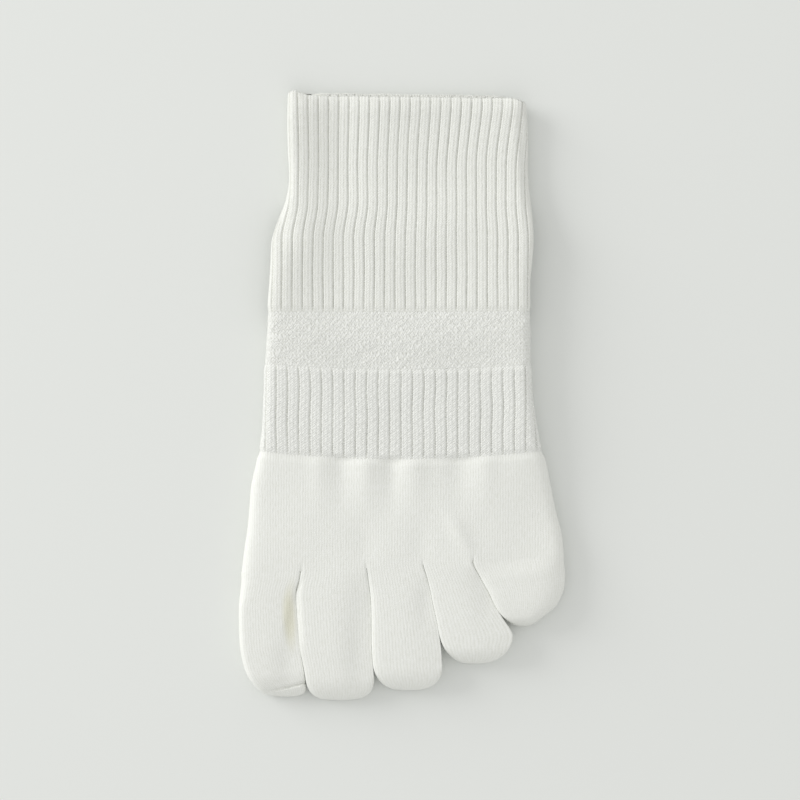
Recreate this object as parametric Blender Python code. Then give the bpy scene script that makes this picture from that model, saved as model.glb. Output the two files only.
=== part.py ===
# Left-foot toe sock laid flat with its instep up: cuff at +Y, toe tips at -Y, sole on z = 0.
# Metres, +Z up, origin at the middle of the footprint.

import math
from collections import namedtuple

import bmesh
import bpy

# Driving dimensions
TUBE_LENGTH = 0.167  # cuff edge to the line where the toes part
TOE_REACH = 0.049  # toe line to the longest toe tip
HALF_WIDTH = 0.058  # half of the widest stretch, at the toe line
BODY_THICKNESS = 0.0095  # both layers of the foot as it lies
LEG_RIB_LENGTH = 0.0773
ANKLE_LENGTH = 0.0178
ARCH_RIB_LENGTH = 0.0311

# Cloth
PLAIN_WALL = 0.0018
RIB_WALL = 0.0021
TOE_WALL = 0.0017
HEEL_WALL = 0.0016
RIB_DEPTH = 0.0009
LEG_RIBS = 52
ARCH_RIBS = 48
CUTS_PER_RIB = 3

# Heel pouch, folded flat under the leg
HEEL_THICKNESS = 0.0040
HEEL_HALF_WIDTH = 0.037
HEEL_REST = 0.0001  # the pouch's sole over the ankle's, so their faces don't coincide
HEEL_ROOT = 0.0115  # how far the pouch starts under the ankle band, past the leg's end
HEEL_REACH = 0.0319  # how far the pouch lies under the leg, measured from the leg's end

# Fit between neighbouring pieces
GAP = 0.0003
HEEL_LIFT = HEEL_THICKNESS + HEEL_REST + GAP

# Curves of the band edges across the width
CUFF_LEAN = -0.0018
ANKLE_SAG = 0.0026
ARCH_SAG = 0.0036
TOE_LINE_LEAN = 0.0070
TOE_LINE_SAG = 0.0008

# Resolution
ROW_SPACING = 0.0025  # rings closer than this are left out
PLAIN_POINTS = 56
TOE_POINTS = 22
HEEL_POINTS = 36

SECTION_POWER = 8.0  # how square a flattened tube's ends are
TOE_POWER = 3.4
FLATTENED = 0.00035  # how much of the round belly the floor takes away

CUFF_Y = (TUBE_LENGTH + TOE_REACH) / 2.0
TOE_LINE_Y = CUFF_Y - TUBE_LENGTH

# Distance from the cuff as a share of the tube's length, sides as shares of the half width,
# thickness as a share of the body's
Station = namedtuple("Station", "along left right thick")
STATIONS = (
    Station(0.00, -0.700, 0.762, 0.94),
    Station(0.15, -0.698, 0.777, 0.94),
    Station(0.19, -0.698, 0.785, 0.94),
    Station(0.23, -0.722, 0.794, 0.94),
    Station(0.27, -0.762, 0.803, 0.94),
    Station(0.32, -0.800, 0.808, 0.94),
    Station(0.40, -0.815, 0.790, 0.94),
    Station(0.463, -0.828, 0.792, 0.94),
    Station(0.508, -0.836, 0.795, 0.97),
    Station(0.57, -0.848, 0.798, 1.00),
    Station(0.62, -0.852, 0.803, 1.00),
    Station(0.70, -0.860, 0.830, 1.00),
    Station(0.755, -0.878, 0.865, 1.00),
    Station(0.79, -0.902, 0.890, 1.00),
    Station(0.83, -0.928, 0.912, 1.00),
    Station(0.90, -0.943, 0.940, 1.00),
    Station(1.00, -0.985, 0.995, 1.00),
)

# How the tube rides over the heel pouch: distance from the leg's end as a share of the pouch's
# reach, rise of the upper face and of the belly as shares of the pouch's lift
Ride = namedtuple("Ride", "along top belly")
RIDE = (
    Ride(-1.64, 0.00, 0.0),
    Ride(-1.43, 0.26, 0.0),
    Ride(-1.22, 0.73, 0.0),
    Ride(-1.01, 1.00, 1.0),
    Ride(0.00, 1.00, 1.0),
    Ride(0.235, 0.71, 0.0),
    Ride(0.56, 0.30, 0.0),
    Ride(0.82, 0.15, 0.0),
    Ride(1.24, 0.04, 0.0),
    Ride(1.53, 0.00, 0.0),
)

# Where a band's edge bends from straight, as shares of the half width
Sag = namedtuple("Sag", "along sag lean")

# Soft pleats that run from the arch band's front edge: middle and width as shares of the half
# width, height as a share of the body's thickness
Pleat = namedtuple("Pleat", "middle width height")
PLEATS = (
    Pleat(-0.52, 0.07, 0.05),
    Pleat(-0.38, 0.05, -0.06),
    Pleat(-0.25, 0.07, 0.07),
    Pleat(-0.09, 0.05, -0.09),
    Pleat(0.08, 0.09, 0.08),
    Pleat(0.33, 0.08, -0.07),
    Pleat(0.52, 0.06, 0.04),
)
PLEAT_LENGTH = 0.021

# Dents of the upper face: place as a share of the tube's length and of the half width, reach in
# both directions as shares of the half width, depth as a share of the body's thickness
Dent = namedtuple("Dent", "along across reach_along reach_across depth")
DENTS = (
    Dent(0.285, -0.72, 0.22, 0.10, 0.11),
    Dent(0.105, 0.70, 0.30, 0.06, 0.05),
    Dent(0.52, 0.30, 0.16, 0.30, 0.04),
)

# Lines between the toes: distance from the toe line as a share of the toe reach, then places
# across as shares of the half width
ToeLine = namedtuple("ToeLine", "along outer_big big_second second_third third_fourth fourth_little outer_little")
TOE_LINES = (
    ToeLine(0.0, -0.985, -0.614, -0.215, 0.126, 0.432, 0.995),
    ToeLine(0.2, -0.997, -0.640, -0.196, 0.184, 0.526, 1.000),
    ToeLine(0.4, -1.000, -0.640, -0.190, 0.209, 0.620, 0.992),
    ToeLine(0.6, -0.994, -0.628, -0.190, 0.233, 0.681, 0.978),
    ToeLine(0.8, -0.974, -0.598, -0.174, 0.250, 0.708, 0.970),
    ToeLine(1.0, -0.952, -0.577, -0.160, 0.262, 0.716, 0.960),
)

# Reach as a share of the longest toe's, tip as a share of the half width, roundness of the tip,
# height as a share of the body's thickness, skew of the upper face towards the right
Toe = namedtuple("Toe", "name left_line right_line reach tip round_from blunt height skew")
TOES = (
    Toe("toe_big", "outer_big", "big_second", 0.975, -0.742, 0.70, 2.8, 0.98, -0.08),
    Toe("toe_second", "big_second", "second_third", 1.000, -0.385, 0.76, 2.9, 1.05, -0.09),
    Toe("toe_third", "second_third", "third_fourth", 0.930, 0.040, 0.72, 2.7, 1.03, -0.07),
    Toe("toe_fourth", "third_fourth", "fourth_little", 0.736, 0.445, 0.64, 2.5, 1.00, -0.12),
    Toe("toe_little", "fourth_little", "outer_little", 0.466, 0.750, 0.25, 2.2, 1.06, -0.10),
)


def between(rows, along, column):
    # Value of a table's column at a place between its rows
    first = rows[0]
    if along <= first.along:
        return getattr(first, column)
    for before, after in zip(rows, rows[1:]):
        if along <= after.along:
            part = (along - before.along) / (after.along - before.along)
            return getattr(before, column) * (1.0 - part) + getattr(after, column) * part
    return getattr(rows[-1], column)


def bell(distance, width):
    return math.exp(-((distance / width) ** 2))


def flat_section(left, right, thick, power, points, skew=0.0):
    # Points at equal steps round a flattened tube, from its left edge over the top, as (x, z)
    middle = (left + right) / 2.0
    half = (right - left) / 2.0
    tall = (thick + FLATTENED) / 2.0
    steps = 720
    dense = []
    for step in range(steps):
        turn = math.pi - 2.0 * math.pi * step / steps
        across = math.copysign(abs(math.cos(turn)) ** (2.0 / power), math.cos(turn))
        up = math.sin(turn)
        z = tall * up + tall - FLATTENED
        if up > 0.0:
            z += tall * up * skew * across
        dense.append((middle + half * across, max(z, 0.0)))
    lengths = [0.0]
    for one, two in zip(dense, dense[1:] + dense[:1]):
        lengths.append(lengths[-1] + math.dist(one, two))
    section = []
    index = 0
    for point in range(points):
        wanted = lengths[-1] * point / points
        while lengths[index + 1] < wanted:
            index += 1
        part = (wanted - lengths[index]) / max(lengths[index + 1] - lengths[index], 1e-12)
        one = dense[index]
        two = dense[(index + 1) % steps]
        section.append((one[0] + (two[0] - one[0]) * part, one[1] + (two[1] - one[1]) * part))
    return section


def grooved(section, per_rib, depth):
    # Every rib's first point sinks into the cloth and makes the groove between two ribs
    count = len(section)
    result = []
    for index, (x, z) in enumerate(section):
        if index % per_rib == 0:
            before = section[index - 1]
            after = section[(index + 1) % count]
            along_x = after[0] - before[0]
            along_z = after[1] - before[1]
            length = math.hypot(along_x, along_z)
            x += depth * along_z / length
            z -= depth * along_x / length
        result.append((x, z))
    return result


def band_bow(along, x):
    # How far a line across the sock strays from straight, worked out from the band edges
    leg_end = LEG_RIB_LENGTH / TUBE_LENGTH
    ankle_end = (LEG_RIB_LENGTH + ANKLE_LENGTH) / TUBE_LENGTH
    arch_end = (LEG_RIB_LENGTH + ANKLE_LENGTH + ARCH_RIB_LENGTH) / TUBE_LENGTH
    edges = (
        Sag(0.0, 0.0, CUFF_LEAN),
        Sag(leg_end, 0.0, 0.0),
        Sag(ankle_end, ANKLE_SAG, 0.0),
        Sag(arch_end, ARCH_SAG, 0.0),
        Sag(1.0, TOE_LINE_SAG, TOE_LINE_LEAN),
    )
    across = max(-1.0, min(1.0, x / HALF_WIDTH))
    return between(edges, along, "lean") * across / 2.0 - between(edges, along, "sag") * (1.0 - across ** 2)


def upper_relief(along, x, z, thick):
    # Pleats and dents of the upper face, fading towards the floor
    across = x / HALF_WIDTH
    upper = max(0.0, 2.0 * z / thick - 1.0)
    arch_end = LEG_RIB_LENGTH + ANKLE_LENGTH + ARCH_RIB_LENGTH
    below_arch = along * TUBE_LENGTH - arch_end
    relief = 0.0
    if below_arch >= 0.0:
        fade = max(0.0, 1.0 - below_arch / PLEAT_LENGTH) ** 1.5
        for pleat in PLEATS:
            relief += fade * pleat.height * bell(across - pleat.middle, pleat.width)
    for dent in DENTS:
        distance = (along - dent.along) * TUBE_LENGTH / HALF_WIDTH
        relief -= dent.depth * bell(distance, dent.reach_along) * bell(across - dent.across, dent.reach_across)
    return relief * upper * BODY_THICKNESS


def tube_ring(along, wall, points, ribs_cut, y_shift):
    # One ring of the tube; the outer face has no wall, the inner one lies a wall further in
    left = between(STATIONS, along, "left") * HALF_WIDTH + wall
    right = between(STATIONS, along, "right") * HALF_WIDTH - wall
    ride = (along * TUBE_LENGTH - LEG_RIB_LENGTH) / HEEL_REACH
    base = between(RIDE, ride, "belly") * HEEL_LIFT
    thick = between(STATIONS, along, "thick") * BODY_THICKNESS + between(RIDE, ride, "top") * HEEL_LIFT - base
    section = flat_section(left, right, thick - 2.0 * wall, SECTION_POWER, points)
    if ribs_cut:
        section = grooved(section, CUTS_PER_RIB, RIB_DEPTH)
    ring = []
    for x, z in section:
        y = CUFF_Y - along * TUBE_LENGTH + y_shift + band_bow(along, x)
        z_here = z + wall + upper_relief(along, x, z + wall, thick)
        ring.append((x, y, z_here + base))
    return ring


def zone_rows(start, length):
    # Shares of the tube's length at which a band has its rings, its ends drawn back by the gap
    first = start / TUBE_LENGTH
    last = (start + length) / TUBE_LENGTH
    clear = ROW_SPACING / TUBE_LENGTH
    ride = [(LEG_RIB_LENGTH + row.along * HEEL_REACH) / TUBE_LENGTH for row in RIDE]
    rows = [along for along in ride if first + clear < along < last - clear]
    for row in STATIONS:
        nearest = min(abs(row.along - along) for along in [first, last] + rows)
        if first < row.along < last and nearest > clear:
            rows.append(row.along)
    return [first] + sorted(rows) + [last]


def end_shifts(rows, amount):
    # How far each ring of a band moves along +Y: only its first and last one
    last = len(rows) - 1
    return [-amount if index == 0 else amount if index == last else 0.0 for index in range(len(rows))]


def bridge(bm, one, two):
    # Quads between two rings of the same number of points
    count = len(one)
    for index in range(count):
        after = (index + 1) % count
        bm.faces.new((one[index], one[after], two[after], two[index]))


def rim(bm, outer, inner):
    # Cloth edge between a ribbed outer ring and its plain inner ring
    per = len(outer) // len(inner)
    for index in range(len(inner)):
        after = (index + 1) % len(inner)
        start = index * per
        corners = [outer[(start + step) % len(outer)] for step in range(per + 1)]
        if per == 1:
            bm.faces.new((corners[0], corners[1], inner[after], inner[index]))
            continue
        bm.faces.new((corners[0], corners[1], inner[index]))
        bm.faces.new(tuple(corners[1:per]) + (inner[after], inner[index]))
        bm.faces.new((corners[per - 1], corners[per], inner[after]))


def close_end(bm, ring):
    # Fan from a ring to its middle
    middle = sum((vert.co for vert in ring), ring[0].co * 0.0) / len(ring)
    centre = bm.verts.new(middle)
    for index, vert in enumerate(ring):
        bm.faces.new((vert, ring[(index + 1) % len(ring)], centre))


def finish_mesh(bm, name, colour, collection):
    bmesh.ops.recalc_face_normals(bm, faces=bm.faces)
    mesh = bpy.data.meshes.new(name)
    bm.to_mesh(mesh)
    bm.free()
    mesh.shade_smooth()
    piece = bpy.data.objects.new(name, mesh)
    collection.objects.link(piece)
    if colour:
        material = bpy.data.materials.new(name + "_knit")
        material.use_nodes = True
        shader = material.node_tree.nodes["Principled BSDF"]
        shader.inputs["Base Color"].default_value = colour + (1.0,)
        shader.inputs["Roughness"].default_value = 0.95
        shader.inputs["Metallic"].default_value = 0.0
        mesh.materials.append(material)
    return piece


def skin(bm, rings):
    # Rings of points as one skin, returned as rings of vertices
    rows = [[bm.verts.new(point) for point in ring] for ring in rings]
    for one, two in zip(rows, rows[1:]):
        bridge(bm, one, two)
    return rows


def open_tube(name, rows, wall, outer_points, inner_points, ribbed, colour, collection):
    # Band of the sock, open at both ends
    bm = bmesh.new()
    shifts = end_shifts(rows, GAP / 2.0)
    outer = skin(bm, [tube_ring(a, 0.0, outer_points, ribbed, s) for a, s in zip(rows, shifts)])
    inner = skin(bm, [tube_ring(a, wall, inner_points, False, s) for a, s in zip(rows, shifts)])
    rim(bm, outer[0], inner[0])
    rim(bm, outer[-1], inner[-1])
    return finish_mesh(bm, name, colour, collection)


def plug(name, rings, collection, colour=None):
    # Solid loft with both ends closed
    bm = bmesh.new()
    rows = skin(bm, rings)
    close_end(bm, rows[0])
    close_end(bm, rows[-1])
    return finish_mesh(bm, name, colour, collection)


def heel_rings(wall, root_wall):
    # Half-moon pouch from under the ankle band towards the cuff
    root = LEG_RIB_LENGTH + HEEL_ROOT - root_wall
    tip = LEG_RIB_LENGTH - HEEL_REACH + wall
    rings = []
    for share in (0.0, 0.3, 0.52, 0.7, 0.84, 0.93, 0.985):
        place = root + (tip - root) * share
        narrow = (1.0 - share ** 2.4) ** (1.0 / 2.4)
        half = (HEEL_HALF_WIDTH - wall) * narrow
        taper = 0.85 + 0.15 * narrow
        section = flat_section(-half, half, (HEEL_THICKNESS - 2.0 * wall) * taper, SECTION_POWER, HEEL_POINTS)
        rings.append([(x, CUFF_Y - place, z + wall * taper + HEEL_REST) for x, z in section])
    return rings


def add_boolean(piece, cutter, operation):
    modifier = piece.modifiers.new(cutter.name, "BOOLEAN")
    modifier.operation = operation
    modifier.solver = "EXACT"
    modifier.object = cutter
    cutter.hide_render = True
    cutter.display_type = "WIRE"


def ankle_heel(colour, collection, cutters):
    # Plain ankle band with the heel pouch that hangs from its sole side
    rows = zone_rows(LEG_RIB_LENGTH, ANKLE_LENGTH)
    shifts = end_shifts(rows, GAP / 2.0)
    outer = [tube_ring(a, 0.0, PLAIN_POINTS, False, s) for a, s in zip(rows, shifts)]
    piece = plug("ankle_heel", outer, collection, colour)
    shifts = end_shifts(rows, -PLAIN_WALL)
    inner = [tube_ring(a, PLAIN_WALL, PLAIN_POINTS, False, s) for a, s in zip(rows, shifts)]
    ankle_hollow = plug("ankle_hollow", inner, cutters)
    pouch = plug("heel_pouch", heel_rings(0.0, 0.0), cutters)
    pouch_hollow = plug("heel_hollow", heel_rings(HEEL_WALL, HEEL_WALL), cutters)
    add_boolean(piece, pouch, "UNION")
    add_boolean(piece, ankle_hollow, "DIFFERENCE")
    add_boolean(piece, pouch_hollow, "DIFFERENCE")
    return piece


def toe_ring(toe, share, wall, root_shift):
    # One ring of a toe pocket; near the tip it closes to a round end
    reach = toe.reach * TOE_REACH - wall
    along = share * reach / TOE_REACH
    rounding = max(0.0, (share - toe.round_from) / (1.0 - toe.round_from))
    narrow = (1.0 - rounding ** toe.blunt) ** (1.0 / toe.blunt)
    thin = (1.0 - 0.9 * rounding ** 2.2) ** 0.5
    tip = toe.tip * HALF_WIDTH
    left = between(TOE_LINES, along, toe.left_line) * HALF_WIDTH + GAP / 2.0 + wall
    right = between(TOE_LINES, along, toe.right_line) * HALF_WIDTH - GAP / 2.0 - wall
    left = tip + (left - tip) * narrow
    right = tip + (right - tip) * narrow
    squareness = TOE_POWER + (SECTION_POWER - TOE_POWER) * max(0.0, 1.0 - share / 0.2) * 0.5
    height = BODY_THICKNESS * (1.0 + (toe.height - 1.0) * min(1.0, share / 0.3))
    thick = height * thin - 2.0 * wall * thin
    section = flat_section(left, right, thick, squareness, TOE_POINTS, toe.skew * min(1.0, share / 0.3))
    ring = []
    for x, z in section:
        y = TOE_LINE_Y + root_shift * (1.0 - share) - share * reach + band_bow(1.0, x) * (1.0 - share)
        ring.append((x, y, z + wall * thin))
    return ring


def toe_pocket(toe, colour, collection):
    # Toe pocket, open at its root and closed at its tip; rings at shares of its reach
    shares = (0.0, 0.15, 0.35, 0.58, 0.74, 0.86, 0.945, 0.985)
    bm = bmesh.new()
    outer = skin(bm, [toe_ring(toe, share, 0.0, -GAP / 2.0) for share in shares])
    inner = skin(bm, [toe_ring(toe, share, TOE_WALL, -GAP / 2.0) for share in shares])
    rim(bm, outer[0], inner[0])
    close_end(bm, outer[-1])
    close_end(bm, inner[-1])
    return finish_mesh(bm, toe.name, colour, collection)


def main():
    for piece in list(bpy.data.objects):
        bpy.data.objects.remove(piece, do_unlink=True)
    sock = bpy.data.collections.new("toe_sock")
    cutters = bpy.data.collections.new("cutters")
    bpy.context.scene.collection.children.link(sock)
    bpy.context.scene.collection.children.link(cutters)

    white = (0.82, 0.83, 0.79)
    ankle_start = LEG_RIB_LENGTH
    arch_start = ankle_start + ANKLE_LENGTH
    foot_start = arch_start + ARCH_RIB_LENGTH

    leg_rows = zone_rows(0.0, LEG_RIB_LENGTH)
    open_tube("leg_rib", leg_rows, RIB_WALL, LEG_RIBS * CUTS_PER_RIB, LEG_RIBS, True, white, sock)
    ankle_heel(white, sock, cutters)
    arch_rows = zone_rows(arch_start, ARCH_RIB_LENGTH)
    open_tube("arch_rib", arch_rows, RIB_WALL, ARCH_RIBS * CUTS_PER_RIB, ARCH_RIBS, True, white, sock)
    foot_rows = zone_rows(foot_start, TUBE_LENGTH - foot_start)
    open_tube("foot_body", foot_rows, PLAIN_WALL, PLAIN_POINTS, PLAIN_POINTS, False, white, sock)
    for toe in TOES:
        toe_pocket(toe, white, sock)


main()
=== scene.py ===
# White cotton toe sock, laid flat with the instep up, knitted over its plain frame
import math

import bmesh
import bpy
import numpy as np
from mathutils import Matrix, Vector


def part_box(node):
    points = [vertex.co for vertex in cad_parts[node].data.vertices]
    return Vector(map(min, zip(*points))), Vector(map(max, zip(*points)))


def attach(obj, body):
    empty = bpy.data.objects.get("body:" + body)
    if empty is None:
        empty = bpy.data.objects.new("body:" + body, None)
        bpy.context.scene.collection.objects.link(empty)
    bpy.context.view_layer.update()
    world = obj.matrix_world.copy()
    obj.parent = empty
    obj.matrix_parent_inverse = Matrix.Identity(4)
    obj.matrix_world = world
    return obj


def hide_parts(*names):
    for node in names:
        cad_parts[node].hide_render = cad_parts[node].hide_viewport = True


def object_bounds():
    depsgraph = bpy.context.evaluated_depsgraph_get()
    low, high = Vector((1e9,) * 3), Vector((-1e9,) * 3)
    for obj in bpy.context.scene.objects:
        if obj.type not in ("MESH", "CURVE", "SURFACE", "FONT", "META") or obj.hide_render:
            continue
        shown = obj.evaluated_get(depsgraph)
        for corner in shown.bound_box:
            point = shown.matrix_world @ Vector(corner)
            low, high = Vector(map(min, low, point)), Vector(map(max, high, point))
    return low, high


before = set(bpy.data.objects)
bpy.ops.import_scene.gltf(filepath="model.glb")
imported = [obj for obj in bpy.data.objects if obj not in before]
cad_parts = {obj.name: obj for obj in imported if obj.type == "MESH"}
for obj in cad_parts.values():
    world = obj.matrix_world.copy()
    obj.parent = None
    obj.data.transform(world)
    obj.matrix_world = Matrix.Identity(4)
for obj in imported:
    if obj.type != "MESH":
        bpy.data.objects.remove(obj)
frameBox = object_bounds()
mm = 0.001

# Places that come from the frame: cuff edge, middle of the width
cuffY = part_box("leg_rib")[1][1] - 0.0009  # the cuff's left corner stands above its middle
midX = (frameBox[0][0] + frameBox[1][0]) / 2

# Distances in mm: from the cuff edge towards the toes, and from the middle of the width to the sides
outline = {
    "fromCuff": [0, 10, 20, 31, 38, 45, 52, 59.5, 66.5, 74, 84.5, 95, 102, 109, 116.5, 123.5, 130.5, 138, 145,
                 152, 159, 167],
    "left": [-40.7, -40.9, -40.7, -40.3, -41.4, -44.0, -46.2, -46.7, -47.1, -47.7, -48.4, -49.1, -49.2, -49.5,
             -49.8, -50.6, -52.0, -53.7, -54.3, -55.0, -56.1, -57.2],
    "right": [44.2, 44.8, 45.0, 45.2, 45.9, 46.6, 46.9, 46.4, 45.7, 45.7, 46.2, 46.3, 46.4, 47.0, 48.1, 49.5,
              51.3, 52.7, 53.9, 55.3, 56.9, 57.7],
}

# Height of the upper face and of the belly, in mm: the leg rides over the folded heel pouch
heights = {
    "fromCuff": [0, 24, 32, 39, 46, 60, 77, 85, 95, 104, 117, 126, 145, 167],
    "top": [8.6, 8.7, 9.3, 10.5, 11.6, 12.1, 12.1, 11.7, 10.6, 10.1, 9.7, 9.5, 9.5, 9.4],
    "belly": [0, 0, 0, 0.3, 4.4, 4.4, 4.4, 0, 0, 0, 0, 0, 0, 0],
}

# Band edges in mm from the cuff, how far each sags at its middle, how much it leans to the right
bands = {
    "edge": [0, 77.3, 95.1, 126.2, 167],
    "sag": [0, 0.2, 2.8, 3.8, 0.8],
    "lean": [-1.6, 0.2, 0.0, 0.3, 7.0],
}

cuffLine, ankleLine, archLine, footLine, toeLine = bands["edge"]
footLeft, footRight = outline["left"][-1], outline["right"][-1]
footTall = heights["top"][-1]

sectionPoints = 1441  # points round a section before its columns are spread
squareness = 36.0  # how square the flattened tube's sides are
flattened = 0.35  # what the floor takes off the round belly, in mm
footHalf = 57.5  # half of the foot's width, in mm
bandDip = 0.45  # how deep the knit lies below the ribs' crests where two bands meet, in mm
endStep = 0.03  # how close the second row lies to a piece's edge, in mm
liningShare = 0.9  # how much of the upper face's relief the lining follows


def smoothRow(at, places, values):  # curve through a table's rows, without kinks
    places = np.asarray(places, float)
    values = np.asarray(values, float)
    slope = np.gradient(values, places)
    at = np.clip(at, places[0], places[-1])
    i = np.clip(np.searchsorted(places, at) - 1, 0, len(places) - 2)
    step = places[i + 1] - places[i]
    t = (at - places[i]) / step
    return ((2 * t**3 - 3 * t**2 + 1) * values[i] + (t**3 - 2 * t**2 + t) * step * slope[i]
            + (3 * t**2 - 2 * t**3) * values[i + 1] + (t**3 - t**2) * step * slope[i + 1])


def smoothStep(x):
    x = np.clip(x, 0.0, 1.0)
    return x * x * (3 - 2 * x)


def bell(distance, width):
    return np.exp(-((distance / width) ** 2))


def ripple(a, b, seed):  # slow uneven wave over a surface, about -1 to 1
    phase = np.random.default_rng(seed).uniform(0, 6.28, (4, 2))
    turn = np.random.default_rng(seed + 50).uniform(0.7, 1.6, (4, 2))
    total = 0
    for k in range(4):
        total = total + np.sin(a * turn[k, 0] + phase[k, 0]) * np.sin(b * turn[k, 1] + phase[k, 1])
    return total / 2.2


def bandBow(fromCuff, x):  # how far a line across the sock strays towards the cuff, in mm
    across = np.clip(x / footHalf, -1, 1)
    sag = np.interp(fromCuff, bands["edge"], bands["sag"])
    lean = np.interp(fromCuff, bands["edge"], bands["lean"])
    return lean * across / 2 - sag * (1 - across**2)


def flatSection(left, right, belly, top):
    # Dense points round a flattened tube from its left edge over the top, with their arc lengths
    turn = math.pi - np.linspace(0, 2 * math.pi, sectionPoints)
    across = np.sign(np.cos(turn)) * np.abs(np.cos(turn)) ** (2 / squareness)
    tall = (top - belly + flattened) / 2
    x = (left + right) / 2 + (right - left) / 2 * across
    z = np.maximum(belly + tall * np.sin(turn) + tall - flattened, belly)
    s = np.concatenate([[0], np.cumsum(np.hypot(np.diff(x), np.diff(z)))])
    return x, z, s


def ringNormals(x, z):
    # Outward normals of a closed ring whose last point repeats its first
    dx = np.roll(x[:-1], -1) - np.roll(x[:-1], 1)
    dz = np.roll(z[:-1], -1) - np.roll(z[:-1], 1)
    size = np.hypot(dx, dz) + 1e-12
    nx = -dz / size
    nz = dx / size
    return np.append(nx, nx[0]), np.append(nz, nz[0])


def columnsOnSection(section, count, pitch, anchor, columns):
    # Spreads rib columns over a section: even pitch on the upper face from an anchor, the rest below
    x, z, s = section
    half = len(s) // 2
    sAnchor = np.interp(anchor, x[:half], s[:half])
    firstLeft = -sAnchor / pitch
    lastRight = (s[half] - sAnchor) / pitch
    place = np.where(columns < firstLeft, columns + count, columns)
    arc = np.interp(place, [firstLeft, lastRight, firstLeft + count], [0, s[half], s[-1]])
    return np.interp(arc, s, x), np.interp(arc, s, z)


def gridPiece(name, points, uvAcross, uvAlong):
    # A grid laid over rows of points, its seam and poles welded; its UV map is in metres on the cloth
    rows, columns = points.shape[0] - 1, points.shape[1] - 1
    bm = bmesh.new()
    bm.loops.layers.uv.new("knit")
    bmesh.ops.create_grid(bm, x_segments=columns, y_segments=rows, size=0.5, calc_uvs=True)
    mesh = bpy.data.meshes.new(name)
    bm.to_mesh(mesh)
    bm.free()
    flat = np.empty(len(mesh.vertices) * 3)
    mesh.vertices.foreach_get("co", flat)
    flat = flat.reshape(-1, 3)
    column = np.rint((flat[:, 0] + 0.5) * columns).astype(int)
    row = np.rint((flat[:, 1] + 0.5) * rows).astype(int)
    mesh.vertices.foreach_set("co", (points[row, column] * mm).ravel())
    layer = mesh.uv_layers["knit"]
    uv = np.empty(len(layer.data) * 2)
    layer.data.foreach_get("uv", uv)
    uv = uv.reshape(-1, 2)
    uv[:, 0] = np.interp(uv[:, 0] * columns, np.arange(columns + 1), uvAcross) * mm
    uv[:, 1] = np.interp(uv[:, 1] * rows, np.arange(rows + 1), uvAlong) * mm
    layer.data.foreach_set("uv", uv.ravel())
    bm = bmesh.new()
    bm.from_mesh(mesh)
    bmesh.ops.remove_doubles(bm, verts=bm.verts, dist=1e-7)
    bmesh.ops.recalc_face_normals(bm, faces=bm.faces)
    bm.to_mesh(mesh)
    bm.free()
    mesh.shade_smooth()
    piece = bpy.data.objects.new(name, mesh)
    bpy.context.scene.collection.objects.link(piece)
    print("knitted", name, "faces", len(mesh.polygons), "lowest", round(points[..., 2].min(), 3), "mm")
    return piece


def dressNode(piece, node, material):  # one cloth, on the root body, in place of its solid
    piece.data.materials.clear()
    piece.data.materials.append(material)
    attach(piece, "root")
    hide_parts(node)


# Materials
def linearColour(hexValue):  # sRGB hex to linear
    channels = [int(hexValue[i:i + 2], 16) / 255 for i in (1, 3, 5)]
    return [c / 12.92 if c <= 0.04045 else ((c + 0.055) / 1.055) ** 2.4 for c in channels] + [1.0]


def addNode(tree, kind, settings=None, links=None, output=0):
    # Adds a node, sets its properties and sockets, links its inputs; returns the chosen output
    node = tree.nodes.new(kind)
    for key, value in (settings or {}).items():
        if isinstance(key, str) and hasattr(node, key):
            setattr(node, key, value)
        else:
            node.inputs[key].default_value = value
    for key, source in (links or {}).items():
        tree.links.new(source, node.inputs[key])
    return node.outputs[output]


# Knit colours: the yarn on the crests; the darker one is painted shade in the grooves and between the loops,
# mixed with the yarn's own uneven flecks; the warm one is painted shade inside the big toe's fold
knitColours = {"crest": "#edeeea", "paintedShadeAndFleck": "#d3d4c8", "paintedFoldShade": "#d9d6b8"}
knitShader = {
    "Roughness": 0.92, "IOR": 1.5, "Specular IOR Level": 0.2, "Sheen Weight": 0.3, "Sheen Roughness": 0.5,
}


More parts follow.
